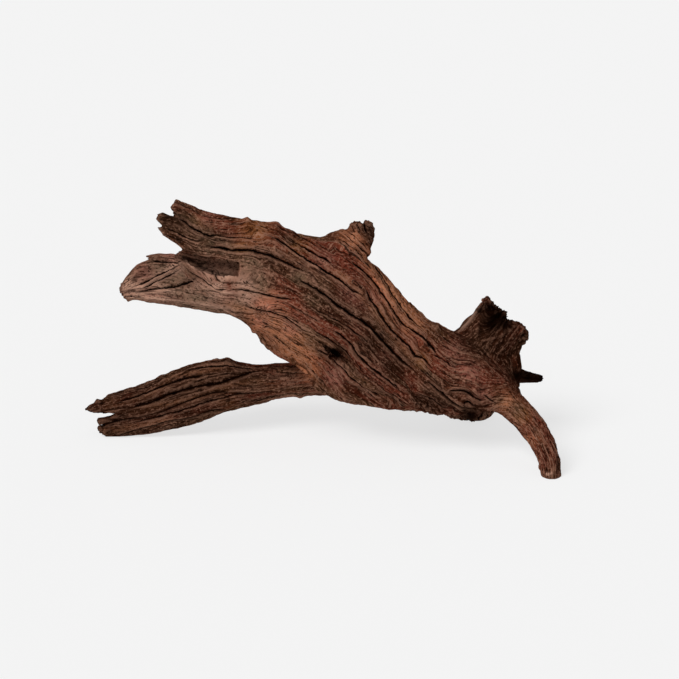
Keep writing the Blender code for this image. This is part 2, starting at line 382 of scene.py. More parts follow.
# Furrows as drawn on the front: depth, half width, line. The wood swells on the left of a line's course
# and slopes down to it from the right, seen by someone who walks along it. The grain of the trunk and
# its slab follows the first list.
TRUNK_FURROWS = [
    (0.9, 0.7, [(211, 234.5), (230.5, 237.3), (242, 237.3), (260, 239.7)]),
    (3.2, 1.3, [(200, 245), (209, 246.7), (223, 248), (232, 250.4), (251, 250.4), (260, 252.3),
                (270, 254.6), (279, 258.8), (288, 262.5), (300, 269), (310, 274.7)]),
    (2.0, 1.0, [(260, 231.7), (270, 235.5), (279, 239), (288, 245.7), (298, 253), (307, 259),
                (316, 264.4), (326, 271), (340, 279.4), (350, 287.8), (361, 295.3), (368.5, 303)]),
    (1.4, 0.8, [(290, 240), (298, 244.8), (307, 249.5), (316, 255), (325, 259), (340, 268)]),
    (3.2, 1.4, [(288, 272), (298, 278.4), (310, 285), (320, 290.6), (330, 298), (340, 306.5), (350, 313),
                (360, 319.5), (370, 326), (380, 337), (390, 348), (401, 359.7), (411, 368), (423, 379)]),
    (2.4, 1.1, [(340, 254), (350, 260), (360, 267.4), (370, 275.7), (377, 284), (382.4, 292.5),
                (387, 299), (392, 307), (398, 317), (406, 326), (417, 332.7), (427, 340), (432, 346.7),
                (438, 355), (445, 360.7), (455.6, 367)]),
    (2.2, 1.0, [(355.4, 279.4), (363, 285), (368.4, 292.5), (371, 299), (377, 306.5), (383, 317),
                (391, 328), (400, 337.3), (409, 345.7), (415.5, 355), (425, 359.7), (431, 367),
                (440, 373)]),
    (1.2, 0.7, [(300, 237), (320, 231.5), (340, 232), (350, 239), (360, 247.7), (369, 257), (378, 269),
                (388, 284), (398, 300), (410, 317), (424, 331), (436, 342)]),
    (0.9, 0.6, [(325, 239), (340, 240), (350, 246), (360, 254), (368, 264), (378, 276)]),
    (0.9, 0.6, [(345, 231), (354, 236), (364, 245), (373, 256), (380, 266)]),
    (0.8, 0.6, [(245, 218), (265, 222), (285, 229), (303, 238), (318, 247), (330, 255)]),
    (0.9, 0.6, [(300, 300), (315, 309), (330, 317), (345, 325), (360, 337), (372, 350)]),
    (1.0, 0.6, [(280, 300), (297, 309), (312, 318), (325, 325)]),
    (2.0, 1.0, [(320, 325), (330, 329), (340, 334.5), (347, 340), (353.7, 347.6), (357.5, 355),
                (364, 360.7), (371.5, 368), (381, 374.7), (390, 381.5), (399.5, 388.7), (409, 394)]),
    (1.2, 0.8, [(310, 327), (317, 332.7), (327, 338.3), (336, 344), (345, 350.4), (351, 358),
                (357.5, 367)]),
    (3.0, 1.3, [(312, 345.8), (320, 351.3), (330, 358), (336, 364.4), (343.5, 372), (350, 379.3),
                (357.5, 385), (367, 390.5), (377, 396), (387, 400)]),
    (1.0, 0.7, [(350, 328), (360, 335.5), (370, 344)]),
    (1.4, 0.8, [(300.5, 360.7), (310, 369), (317, 377.5), (327, 388)]),
    (1.4, 0.8, [(315.5, 360), (325, 369), (336, 381)]),
    (1.2, 0.8, [(355, 386), (364, 391.5), (375, 400)]),
    (1.8, 0.9, [(225, 289), (240, 290), (250, 292), (260, 293.5), (275, 297), (290, 299.5), (300, 303)]),
    (1.8, 0.9, [(233, 303), (245, 306), (255, 309), (265, 311), (275, 314), (285, 318), (295, 325),
                (305, 331), (315, 336)]),
    (1.8, 0.8, [(446, 391), (454, 390), (461, 390.5), (468, 393), (475, 398), (481, 401), (488, 399)]),
    (1.2, 0.7, [(430, 353), (438, 357), (447, 362.5), (453, 367), (464, 367.5)]),
    (2.2, 1.0, [(426, 380), (432, 385), (439, 391), (447, 397.5), (453, 403), (463, 407), (473, 408.5)]),
    (1.2, 0.7, [(414, 392), (424, 396), (432, 400), (440, 406), (450, 409)]),
    (1.2, 0.7, [(163, 227), (175, 232), (185, 237), (197, 241), (207, 240.5)]),
    (2.4, 1.3, [(177, 217.5), (184, 221), (191, 227), (200, 232), (207, 235), (220, 236.5)]),
]
OTHER_FURROWS = [
    (1.5, 0.8, [(357, 220.5), (357.5, 226), (360, 232)]),
    (1.3, 0.7, [(364, 222), (365, 228), (367.5, 235)]),
    (1.0, 0.6, [(352, 225), (352.5, 229), (355, 234)]),
    (2.6, 1.1, [(240, 275.5), (232, 275.5), (222, 275), (213, 273.5), (205, 271), (197, 267.5),
                (190, 263), (184, 257.5)]),
    (1.2, 0.7, [(260, 328.8), (270, 326.5), (279, 329)]),
    (0.9, 0.5, [(254, 311), (258, 307), (264, 306.5), (270, 310)]),
    (0.9, 0.5, [(257, 315), (261, 311.5), (266, 312.5), (268, 317)]),
    (0.8, 0.5, [(251, 315), (255, 320), (262, 322.5), (270, 321)]),
    (0.8, 0.6, [(240, 283), (260, 284.5)]),
    (2.2, 1.0, [(188, 271), (197, 277), (205, 282), (210, 286), (218, 289.5), (230, 289.5)]),
    (1.6, 0.8, [(483.6, 394), (489, 399), (497, 403.6)]),
    (1.4, 0.9, [(462, 401), (470, 402.7), (478, 408)]),
    (1.4, 0.8, [(125, 289), (140, 284.5), (155, 277), (170, 270), (186, 263)]),
    (1.2, 0.8, [(130, 291), (145, 287), (160, 280), (172, 274), (186, 266)]),
    (2.0, 1.0, [(135, 293), (150, 290), (165, 287.5), (178, 285), (190, 281), (198, 278)]),
    (1.6, 0.9, [(150, 259), (160, 261), (172, 262), (186, 262)]),
    (0.8, 0.7, [(150, 299.5), (170, 301), (190, 303), (205, 305.5), (225, 307)]),
    (0.8, 0.7, [(187, 290), (200, 291), (215, 293), (228, 297)]),
    (2.6, 1.5, [(120, 413), (136, 406), (153, 401), (175, 392), (203, 385), (219, 383), (236, 377),
                (252, 371.5), (270, 368)]),
    (1.4, 1.0, [(105, 404), (136, 396), (169, 383), (203, 375), (225, 371)]),
    (1.4, 0.9, [(122, 425), (150, 419), (180, 411), (211, 401), (236, 395), (262, 391)]),
]


class Noise:
    """Smooth gradient noise from -1 to 1, the same each run for the same seed."""

    def __init__(self, seed):
        shuffled = np.random.default_rng(seed)
        self.order = np.tile(shuffled.permutation(256), 2)
        slopes = shuffled.normal(size=(256, 3))
        self.slopes = (slopes / np.linalg.norm(slopes, axis=1)[:, None]).T.copy()

    def __call__(self, x, y, z):
        cells, parts, eases = [], [], []
        for value in np.broadcast_arrays(x, y, z):
            cell = np.floor(value).astype(int)
            part = value - cell
            ease = part ** 3 * (part * (part * 6 - 15) + 10)
            cells.append((cell & 255, (cell + 1) & 255))
            parts.append((part, part - 1))
            eases.append((1 - ease, ease))
        total = 0
        for corner in np.ndindex(2, 2, 2):
            i, j, k = (pair[side] for pair, side in zip(cells, corner))
            spot = self.order[self.order[self.order[i] + j] + k]
            share, height = 1, 0
            for axis, side in enumerate(corner):
                share = share * eases[axis][side]
                height = height + self.slopes[axis][spot] * parts[axis][side]
            total = total + share * height
        return total * 1.6


def closest(places, points):
    """The number of the point that is closest to each place, for a share of the places at a time."""
    shares = np.array_split(places, 1 + len(places) // 20000)
    return np.concatenate([((points ** 2).sum(1) - 2 * share @ points.T).argmin(1) for share in shares])


def place_on_limb(places, stations):
    """Along (metres), round (radians), the share of the way out to the limb's skin, and its direction."""
    path, along, width, depth = spine(stations, 4 * MM)
    nearest = closest(places, path[:, :3])
    offset = places - path[nearest, :3]
    beyond = (offset * along[nearest]).sum(1)
    inside = (nearest > 0) & (nearest < len(path) - 1)
    run = np.concatenate([[0], np.linalg.norm(np.diff(path[:, :3], axis=0), axis=1).cumsum()])
    x = (offset * width[nearest]).sum(1) / path[nearest, 3]
    y = (offset * depth[nearest]).sum(1) / path[nearest, 4]
    past_end = np.where(inside, 0, beyond / path[nearest, 4])
    return run[nearest] + beyond, np.arctan2(y, x), np.sqrt(x ** 2 + y ** 2 + past_end ** 2), along[nearest]


def strand_places(turn, along, radius, astray, noise):
    """Which strand each place lies on: whole numbers are the seams between strands."""
    around = max(3, round(2 * math.pi * radius / STRAND))
    x, y, z = np.cos(turn) * radius / STRAND, np.sin(turn) * radius / STRAND, along / WAVER
    wander = noise(x * 0.45, y * 0.45, z) + 0.5 * noise(x * 0.9 + 7, y * 0.9, z * 2.3)
    return np.mod(around * turn / (2 * math.pi) + astray * wander, around)


def strand_back(strand):
    """A strand's rounded back, from 0 in its seams to 1. It rises gently and ends in a steep edge."""
    share = strand - np.floor(strand)
    return np.minimum(1, 1.4 * share) ** 0.7 * np.minimum(1, 5 * (1 - share)) ** 0.6


# The limbs, the group of each, and how deep its seams are and how far astray they go. Limbs that meet
# are in different groups, and their grain is blended. The last row is the flow on the trunk's front.
GRAIN_LIMBS = [
    (TRUNK[:9], 0, 0.9, 0.9), (TRUNK[7:], 1, 0.2, 0.9), (SLAB, 1, 0.6, 0.7), (LIP, 2, 0.4, 0.6),
    (SPOON, 1, 0.3, 0.5), (BRANCH, 1, 0.65, 0.8), (KNOB, 1, 0.2, 0.6), (STUB, 2, 0.35, 0.9),
    (SPIKE, 1, 0.4, 0.6), (HEEL, 2, 1.0, 1.0), (SCAR_BEHIND, 1, 1.0, 1.0), (None, 3, 0.3, 0.4)]
FLOW_RADIUS = 35 * MM

mesh = wood.data
count = len(mesh.vertices)
places = np.empty(count * 3, np.float32)
mesh.vertices.foreach_get("co", places)
places = places.reshape(-1, 3).astype(float)
normals = np.empty(count * 3, np.float32)
mesh.vertex_normals.foreach_get("vector", normals)
normals = normals.reshape(-1, 3).astype(float)
facets = BVHTree.FromObject(wood, bpy.context.evaluated_depsgraph_get())


def laid_on(line, behind=False):
    """The drawn line as points on the wood's front, or on its back, as the eye's rays meet it."""
    points = []
    for across, down in line:
        ray = Vector(seen(across, down, 0) - EYE)
        start = Vector(EYE) + 2 * ray if behind else Vector(EYE)
        met = facets.ray_cast(start, -ray if behind else ray)[0]
        if met:
            points.append(met)
    return np.array(points)


ray = places - EYE
drawn_across = DRAWN_MIDDLE + (ray @ ACROSS) / (ray @ AHEAD) * LOOK_FROM / POINT
drawn_down = DRAWN_MIDDLE - (ray @ UP) / (ray @ AHEAD) * LOOK_FROM / POINT


def step(low, high, value):
    t = np.clip((value - low) / (high - low), 0, 1)
    return t * t * (3 - 2 * t)


def patches(spots):
    """Soft spots as drawn: across, down, radius."""
    total = np.zeros(count)
    for across, down, radius in spots:
        total += np.exp(-((drawn_across - across) ** 2 + (drawn_down - down) ** 2) / radius ** 2)
    return np.clip(total, 0, 1)


def strokes(lines):
    """Soft strokes along drawn lines on the front: half width, line. They taper off at both ends."""
    drawn = np.stack([drawn_across, drawn_down], -1)
    total = np.zeros(count)
    for half_width, line in lines:
        points = smooth_line(line, 0.5)
        nearest = closest(drawn, points)
        apart = np.linalg.norm(drawn - points[nearest], axis=1)
        from_end = np.minimum(nearest, len(points) - 1 - nearest) / len(points)
        total = np.maximum(total, np.exp(-(apart / half_width) ** 2) * step(-0.02, 0.25, from_end))
    return total * step(0.0, 0.3, -(normals @ AHEAD))


# Drawn strokes, as half width and line: pale ridges, lit ridges with a painted highlight, stripes of painted
# shade and edges in painted shade, all of the front. Drawn spots, as across, down and radius: lumps on the
# outline, and frayed edges.
PALE_RIDGES = [
    (1.7, [(181, 255), (186, 261), (193, 266), (203, 269.5), (216, 273.5), (227, 276), (240, 276.5)]),
    (2.4, [(122, 289), (140, 286), (150, 282), (160, 275), (175, 267), (186, 260)]),
    (2.0, [(128, 290), (150, 285.5), (165, 277), (180, 270), (188, 266)]),
    (1.6, [(128, 294), (150, 292.5), (166, 290), (180, 288)]),
    (1.5, [(200, 279), (207, 284), (213, 288), (222, 292), (240, 293)]),
    (1.8, [(125, 296), (160, 299), (200, 304), (240, 311)]),
    (1.6, [(455, 334), (466, 325), (475, 315), (482, 303)]),
    (1.4, [(544, 473), (549, 474), (553, 472)]),
]
LIT_RIDGES = [
    (2.6, [(110, 407), (138, 397), (160, 388), (173, 377), (197, 372), (222, 367), (247, 365)]),
    (2.4, [(125, 413), (147, 407), (173, 403), (200, 397), (222, 387), (247, 382), (275, 381)]),
    (3.0, [(100, 431), (120, 428), (150, 424), (180, 416)]),
    (5.0, [(312, 262), (340, 276), (364, 296), (384, 321), (401, 345), (424, 369)]),
    (4.0, [(352, 246), (368, 262), (384, 280), (398, 300), (414, 322), (432, 338)]),
    (4.0, [(262, 322), (272, 333), (284, 343), (298, 354), (312, 370)]),
    (3.0, [(215, 300), (245, 309), (270, 318), (295, 331)]),
    (1.3, [(322, 342), (334, 346), (343, 351), (349, 360)]),
]
PAINTED_SHADE_BANDS = [
    (8, [(292, 277), (320, 292), (345, 309), (372, 328), (395, 353), (430, 385)]),
    (7, [(362, 342), (378, 358), (392, 369), (410, 379)]),
    (4, [(210, 252), (232, 255), (258, 257), (282, 266)]),
    (5, [(200, 278), (192, 280), (180, 284)]),
    (3, [(148, 259), (160, 261.5), (174, 263)]),
    (3, [(140, 285), (158, 279), (172, 273), (184, 266)]),
    (5, [(126, 407), (155, 400), (180, 397), (213, 385), (247, 373), (275, 370)]),
    (4, [(110, 438), (140, 434), (170, 426), (200, 413), (240, 402)]),
    (4, [(183, 221), (194, 229), (204, 235), (222, 238)]),
    (4, [(365, 240), (368, 228), (372, 250)]),
    (5, [(552, 440), (560, 455), (561, 475)]),
    (6, [(400, 396), (430, 402), (460, 410)]),
    (4, [(329, 349), (335, 353), (342, 358)]),
]
# Painted shade: dark lines under the overhanging edges of the slot and the spoon
PAINTED_SHADE_EDGES = [
    (1.5, [(180, 254), (185, 257), (197, 263.5), (207, 268.7), (218, 272.3), (230, 274), (246, 275)]),
    (1.2, [(120, 290), (131, 291.5), (143, 291.5), (160, 288.5), (176, 287), (185, 284.5), (197, 278),
           (205, 275)]),
]
LUMPS = [(247, 221, 4), (276, 224, 5), (436, 328, 4), (128, 300, 3), (236, 312, 4), (254, 330, 4),
         (170, 391, 4), (228, 360, 5), (98, 402, 3), (300, 394, 4)]
FRILLS = [(481, 300, 4), (490, 304, 6), (499, 310, 6), (505, 318, 5), (514, 323, 5), (523, 331, 5),
          (524, 341, 5), (416, 405, 5), (428, 408, 5), (440, 411, 5), (452, 415, 5),
          (118, 288, 4), (122, 297, 4), (100, 434, 5), (352, 224, 4), (369, 224, 4)]

calm = patches([(485, 370, 26), (505, 382, 16), (462, 348, 16), (520, 410, 16), (538, 438, 18),
                (550, 462, 16), (495, 345, 22), (470, 330, 16), (160, 272, 18), (350, 245, 12)])
rough = patches([(495, 318, 22), (470, 410, 22), (430, 408, 14), (395, 402, 10), (450, 355, 16),
                 (505, 350, 16), (240, 224, 10), (262, 335, 10), (160, 385, 14), (225, 358, 12),
                 (105, 430, 16), (358, 225, 12), (130, 290, 8), (548, 474, 10), (520, 412, 12),
                 (535, 434, 12), (548, 456, 12), (470, 375, 22), (500, 385, 14)])
knot_middles = [(laid_on([(across, down)], behind)[0], radius * MM) for across, down, behind, radius in KNOTS]
on_limbs = [place_on_limb(places, row[0]) for row in GRAIN_LIMBS[:-1]]
weights = np.array([
    np.exp(-((reach - 1) / np.where(reach > 1, 0.22, 0.6)) ** 2) + 1e-12 / (reach + 1)
    for run, turn, reach, direction in on_limbs])
weights[weights < 0.03 * weights.max(0)] = 0
weights /= weights.sum(0)


def course(line):
    """The drawn line's points on the wood, and the direction to the left of its course at each."""
    points = laid_on(smooth_line(line, 1.0))
    left = np.cross(np.gradient(points, axis=0), AHEAD)
    return points, left / np.linalg.norm(left, axis=1)[:, None]


# The flow: how far up the trunk's front each place lies, measured from furrow to furrow
courses = [course(line) for depth, half_width, line in TRUNK_FURROWS + OTHER_FURROWS]
flowing = courses[:len(TRUNK_FURROWS)]
rows = [np.eye(len(flowing))[0]]
gaps = [0]
for i, (points, left) in enumerate(flowing):
    for j, (others, _) in enumerate(flowing):
        nearest = closest(others, points)
        offset = others - points[nearest]
        apart = np.linalg.norm(offset, axis=1)
        facing = (nearest > 0) & (nearest < len(points) - 1) & (apart < 25 * MM)
        if i == j or facing.sum() < 5:
            continue
        trust = facing.sum() / (5 * MM + apart[facing].mean())
        rows.append(trust * (np.eye(len(flowing))[j] - np.eye(len(flowing))[i]))
        gaps.append(trust * (offset * left[nearest]).sum(1)[facing].mean())
levels = np.linalg.lstsq(np.array(rows), np.array(gaps), rcond=None)[0]
upward = np.zeros(count)
trusted = np.zeros(count)
to_furrow = np.full(count, 1.0)
for (points, left), height in zip(flowing, levels):
    nearest = closest(places, points)
    offset = places - points[nearest]
    apart = np.linalg.norm(offset, axis=1)
    trust = 1 / (apart + 1.5 * MM) ** 3
    upward += trust * (height + (offset * left[nearest]).sum(1))
    trusted += trust
    to_furrow = np.minimum(to_furrow, apart)
upward /= trusted
flow_weight = step(24 * MM, 9 * MM, to_furrow) * step(-0.25, 0.25, -(normals @ AHEAD))
weights = np.vstack([weights * (1 - flow_weight), flow_weight])
downstream = places @ (ACROSS * 0.8 - UP * 0.6)
on_limbs.append((downstream, upward / FLOW_RADIUS, np.ones(count), on_limbs[0][3]))
skin = np.min([reach for run, turn, reach, direction in on_limbs[:-1]], axis=0)

# Limb by limb: the height of the grain in millimetres, and what the finish reads from it
relief = np.zeros(count)
torn = np.zeros(count)
tone = np.zeros((count, 3))
grain = np.zeros((4, count, 3))
share_of = np.zeros((4, count))
furrows = np.zeros((5, count, 3))
for index, (limb, group, deep, astray) in enumerate(GRAIN_LIMBS):
    # Where each point lies in the grain, once the knots have pushed the grain aside
    near = np.flatnonzero(weights[index])
    weight = weights[index, near]
    run, turn, reach, direction = (part[near] for part in on_limbs[index])
    outward = normals[near]
    radius = MM * np.mean([0.5 * (row[3] + row[4]) for row in limb]) if limb else FLOW_RADIUS
    for middle, size in knot_middles:
        away = places[near] - middle
        apart = np.linalg.norm(away, axis=1)
        sideways = (away * np.cross(direction, outward)).sum(1)
        push = sideways * size ** 2 / np.maximum(apart, size) ** 2
        turn = turn - np.where(apart < 6 * size, push, 0) / radius
    x, y, z = np.cos(turn) * radius, np.sin(turn) * radius, run

    # The strands, their cords and single fibres. Some seams are open, some are shut.
    noise = Noise(51 + index)
    strength = step(-0.5, 0.5, noise(x / 0.02, y / 0.02, z / 0.06))
    opened = step(-0.3, 0.5, noise(x / 0.012 + 3, y / 0.012, z / 0.05))
    bundle = strand_places(turn, run, radius, astray, Noise(11 + index))
    cord = 2 * bundle + 0.4 * noise(x / 0.006, y / 0.006, z / 0.05)
    single = 4 * bundle + 0.9 * noise(x / 0.004, y / 0.004, z / 0.03)
    deep = deep * (1 - 0.8 * calm[near])

    # The backs of all three, then swells, pits and grit. Torn ends splinter instead.
    height = (strand_back(bundle) - 0.7) * (1.0 + 2.4 * strength) * deep
    height += (strand_back(cord) - 0.7) * (0.3 + 0.9 * opened) * deep + (strand_back(single) - 0.75) * 0.45
    height += 1.1 * noise(x / 0.016, y / 0.016, z / 0.05)
    height += (0.5 + 1.3 * rough[near]) * noise(x / 0.004, y / 0.004 + 5, z / 0.007)
    height += (0.35 + 0.5 * rough[near]) * noise(x / 0.0018, y / 0.0018, z / 0.004)
    ends = step(0.5, 0.85, np.abs((outward * direction).sum(1)))
    splinter = 2.2 * noise(x * reach / 0.0035, y * reach / 0.0035, z / 0.02)
    relief[near] += weight * ((1 - ends) * height + ends * splinter)
    torn[near] += weight * ends

    # For the finish: two shades of each strand, the places in the grain, and the seams beside each point
    for axis, seed in ((0, 5), (1, 90)):
        shade = noise(np.floor(bundle) * 3.7 + seed, z / 0.06, 0.5)
        tone[near, axis] += weight * (shade + 0.7 * noise(np.floor(cord) * 5.3, z / 0.04, seed))
    mine = weight > share_of[group, near]
    grain[group, near[mine]] = np.stack([x, y, z + 0.4 * index], -1)[mine]
    share_of[group, near] = np.maximum(share_of[group, near], weight)
    for layer, strand, width, depth in ((3, bundle, STRAND, 1.5 * strength), (4, cord, STRAND / 2, opened)):
        above = (np.round(strand) - strand) * width / MM
        seam = (1 - ends) * step(0.5, 0.75, weight) * step(2.0, 1.2, np.abs(above))
        seam *= step(0.15, 0.5, depth * deep)
        clearer = seam > furrows[layer, near, 1]
        furrows[layer, near[clearer]] = np.stack([above / 0.7, seam, seam * depth * deep], -1)[clearer]
share_of = share_of ** 3
share_of /= np.sqrt((share_of ** 2).sum(0))

# The drawn furrows: over each, the strand above it swells, and the strand below it rises gently
wobble = Noise(71)
wobble = 0.5 * wobble(*(places.T / 0.004)) + 0.35 * wobble(*(places.T / 0.0016))
sunk = np.zeros(count)
claimed = np.zeros(count)
for index, (depth, half_width, line) in enumerate(TRUNK_FURROWS + OTHER_FURROWS):
    points, left = courses[index]
    reach = 9 * MM
    near = np.flatnonzero(((places > points.min(0) - reach) & (places < points.max(0) + reach)).all(1))
    nearest = closest(places[near], points)
    offset = places[near] - points[nearest]
    apart = np.linalg.norm(offset, axis=1)
    above = (offset * left[nearest]).sum(1) / MM + wobble[near]
    from_end = np.minimum(nearest, len(points) - 1 - nearest) / len(points)
    fade = step(0, 0.25, from_end) * (0.8 + 0.2 * np.sin(nearest * 0.35)) * step(reach, 0.6 * reach, apart)
    claimed[near] = np.maximum(claimed[near], step(0, 0.1, from_end) * step(4.5 * MM, 2 * MM, apart))
    width = half_width * (0.35 + 0.65 * fade)
    slit = np.exp(-(above / width) ** 2) * fade
    brow = np.exp(-((above - 2.4 * half_width) / 2.2) ** 2) * fade
    slope = np.exp(-np.abs(above) / 3.4) * (above < 0) * fade
    sunk[near] = np.maximum(sunk[near], depth * slit)
    relief[near] += depth * (0.52 * brow - 0.7 * slope)
    layer = furrows[index % 3]
    presence = fade * step(5, 3, apart / MM / half_width)
    better = presence > layer[near, 1]
    layer[near[better]] = np.stack([above / width, presence, presence * depth], -1)[better]
furrows[3:, :, 1:] *= (1 - claimed)[None, :, None]

# Rings round the knots, lumps, ridges and frills, all pressed in but where the wood stands on the floor
for middle, size in knot_middles:
    apart = np.linalg.norm(places - middle, axis=1)
    ring = 0.35 * np.cos(apart / MM * 2.2 + 2 * wobble) * np.exp(-(apart / (1.3 * size)) ** 2)
    relief += ring * step(4 * MM, 6 * MM, size)
    relief += 0.12 * size / MM * np.exp(-((apart - size) / (0.5 * size)) ** 2)
relief += 2.2 * patches(LUMPS) + 0.9 * strokes(PALE_RIDGES)
relief += 2.6 * patches(FRILLS) * Noise(81)(*(places.T / 0.0024))
relief = relief * (1 - step(0.4, 2.0, sunk)) - sunk
standing = step(0.5 * MM, 4 * MM, places[:, 2])
places = places + normals * (relief * standing * MM)[:, None]
places = np.clip(places, *np.array(cad_box))     # the finish keeps inside the part's own box
mesh.vertices.foreach_set("co", places.astype(np.float32).ravel())


def keep(name, values, kind="FLOAT"):
    """Stores a value for each point of the wood, for its finish."""
    layer = mesh.attributes.new(name, kind, "POINT")
    layer.data.foreach_set("value" if kind == "FLOAT" else "vector", np.asarray(values, np.float32).ravel())


# How far each point stands out from the wood round it, over a few millimetres
edges = np.empty(len(mesh.edges) * 2, np.int32)
mesh.edges.foreach_get("vertices", edges)
first, second = edges.reshape(-1, 2).T
neighbours = np.bincount(first, minlength=count) + np.bincount(second, minlength=count)
evened = places.copy()
for _ in range(10):
    evened = np.stack([
        (np.bincount(first, evened[second, axis], count) + np.bincount(second, evened[first, axis], count))
        / neighbours for axis in range(3)], -1)
keep("crest", ((places - evened) * normals).sum(1) / MM)
keep("torn", torn)
keep("inner", step(0.97, 0.8, skin))
keep("tone", tone, "FLOAT_VECTOR")
for letter, layer in zip("abcde", furrows):
    keep("furrow_" + letter, layer, "FLOAT_VECTOR")
for letter, layer, share in zip("abcd", grain, share_of):
    keep("grain_" + letter, layer / MM, "FLOAT_VECTOR")
    keep("share_" + letter, share)
keep("grey", patches([(215, 250, 18), (200, 258, 14), (245, 278, 26), (232, 262, 18), (262, 270, 16),
                      (185, 292, 20), (165, 262, 12), (215, 298, 18)]))
keep("tan", patches([(145, 285, 20), (175, 292, 20), (200, 294, 18), (225, 287, 18), (205, 275, 9),
                     (248, 293, 14), (165, 268, 14), (128, 291, 10)]))
keep("warm", patches([(275, 325, 17), (290, 344, 14), (262, 317, 12), (355, 240, 10), (345, 233, 8),
                      (368, 256, 9), (378, 270, 11), (388, 286, 14), (400, 305, 14), (412, 325, 12),
                      (305, 360, 12), (508, 400, 10), (270, 300, 8), (310, 372, 9), (532, 440, 7)]))
keep("rose", patches([(145, 273, 9), (168, 257, 8), (150, 292, 6), (268, 308, 10), (232, 300, 8),
                      (205, 216, 8), (352, 292, 12), (372, 300, 10), (325, 262, 10), (455, 352, 12),
                      (470, 372, 10), (480, 395, 10), (290, 325, 9), (335, 378, 10), (200, 276, 6),
                      (384, 360, 10), (262, 318, 8)]))
keep("moss", patches([(182, 216, 9), (208, 232, 12), (160, 264, 7), (172, 282, 10), (200, 300, 10),
                      (235, 304, 9), (250, 262, 10), (190, 222, 9), (170, 214, 7), (222, 246, 12),
                      (262, 284, 9), (312, 300, 11), (500, 398, 7), (515, 408, 8), (480, 345, 12),
                      (300, 278, 9), (185, 298, 9), (157, 264, 8), (177, 279, 9), (152, 284, 5)]))
keep("red", patches([(212, 214, 16), (350, 262, 18), (374, 292, 15), (410, 345, 18), (300, 308, 12),
                     (285, 300, 12), (330, 366, 16), (455, 352, 18), (480, 372, 20), (546, 462, 14),
                     (145, 273, 9), (380, 372, 14), (355, 330, 12), (240, 240, 12), (500, 385, 16),
                     (528, 426, 10), (540, 446, 12), (140, 271, 7), (165, 256.5, 7)]))
keep("ochre", patches([(255, 229, 18), (240, 250, 8), (195, 222, 8), (300, 246, 10), (520, 414, 10),
                       (100, 430, 8), (110, 404, 8), (300, 345, 8), (420, 360, 10), (228, 400, 10)]))
# Dark patches: partly the wood's own darker colour, partly painted shade on the branch under the trunk, the
# heel, the belly and the stub
keep("dark", patches([(95, 415, 26), (125, 412, 28), (160, 398, 26), (195, 392, 26), (235, 380, 24),
                      (478, 330, 26), (500, 335, 26), (515, 345, 16), (470, 412, 16), (440, 406, 12),
                      (530, 377, 22), (370, 345, 12), (335, 352, 10), (395, 366, 14), (430, 398, 12),
                      (182, 224, 10), (168, 219, 10), (367, 229, 8), (512, 362, 10)]))
keep("ridges", strokes(PALE_RIDGES))
keep("lit", strokes(LIT_RIDGES))
# Painted shade: broad dark stripes over the trunk, slab, spoon, branch, knob, root and knot hole
keep("shade_bands", strokes(PAINTED_SHADE_BANDS))
# Painted shade, near black: along those edges, in the knot hole, the stub's hollow end, under the heel and
# along the spike
keep("dirt", np.maximum(0.85 * strokes(PAINTED_SHADE_EDGES), patches([
    (332, 351, 3), (337, 355, 4), (499, 315, 9), (491, 324, 7), (507, 326, 6), (470, 416, 8), (488, 306, 5),
    (480, 312, 3), (516, 375, 6), (528, 377, 7), (541, 379, 7)])))

thin = wood.modifiers.new("fewer faces", "DECIMATE")
thin.ratio = SHAPE_LIMIT / (2 * len(mesh.polygons))
apply_modifiers(wood)
wood.data.shade_smooth()

# The finish.
# Bare dry wood, brown and reddish, greyer where water has bleached it. Painted shade darkens the furrows and
# hollows, and fine fibres show as light and dark threads and hairline cracks along the grain, the cracks in
# painted shade.
BROWN = (0.135, 0.046, 0.024, 1)
DEEP_BROWN = (0.050, 0.0135, 0.0055, 1)
PALE_BROWN = (0.34, 0.176, 0.116, 1)
GREY = (0.200, 0.118, 0.078, 1)
TAN = (0.54, 0.310, 0.220, 1)
WARM = (0.56, 0.215, 0.108, 1)
OLIVE = (0.085, 0.045, 0.020, 1)
ROSE = (0.42, 0.165, 0.120, 1)
MOSS = (0.135, 0.092, 0.054, 1)
RED = (0.175, 0.038, 0.021, 1)
OCHRE = (0.28, 0.115, 0.038, 1)
LIT = (0.34, 0.150, 0.080, 1)
DARK = (0.026, 0.0085, 0.0035, 1)
# The near black of painted shade in furrows, cracks and hollows
CREVICE_SHADE = (0.0055, 0.0016, 0.0007, 1)
CONTRAST = 1.2                      # darkens the dark colours more than the pale ones
BALANCE = (1.26, 1.42, 1.54, 1)     # then lifts them all again, blue the most
FIBRE_HEIGHT = 1.7 * MM


def node(tree, kind, **values):
    """A new node. A value is one of its settings, or a number or a socket for one of its inputs."""
    made = tree.nodes.new(kind)
    for name, value in values.items():
        if hasattr(made, name):
            setattr(made, name, value)
            continue
        place = made.inputs[int(name[2:]) if name.startswith("in") else name.replace("_", " ")]
        if isinstance(value, bpy.types.NodeSocket):
            tree.links.new(value, place)
        else:
            place.default_value = value
    return made


def calculate(tree, kind, *values):
    given = {f"in{i}": value for i, value in enumerate(values)}
    return node(tree, "ShaderNodeMath", operation=kind, **given).outputs[0]


def spread(tree, source, low, high):
    """0 where the source is low, 1 where it is high, and smooth between."""
    return node(tree, "ShaderNodeMapRange", interpolation_type="SMOOTHSTEP", Value=source,
                From_Min=low, From_Max=high).outputs[0]


def blend(tree, share, first, second):
    return node(tree, "ShaderNodeMix", data_type="RGBA", in0=share, in6=first, in7=second).outputs[2]


def grain_noise(tree, source, across, along, detail):
    """Noise drawn out along the grain, with so many waves a millimetre."""
    stretch = node(tree, "ShaderNodeMapping", Vector=source, Scale=(across, across, along))
    return node(tree, "ShaderNodeTexNoise", Vector=stretch.outputs[0], Scale=1.0, Detail=detail,
                Roughness=0.62).outputs["Fac"]


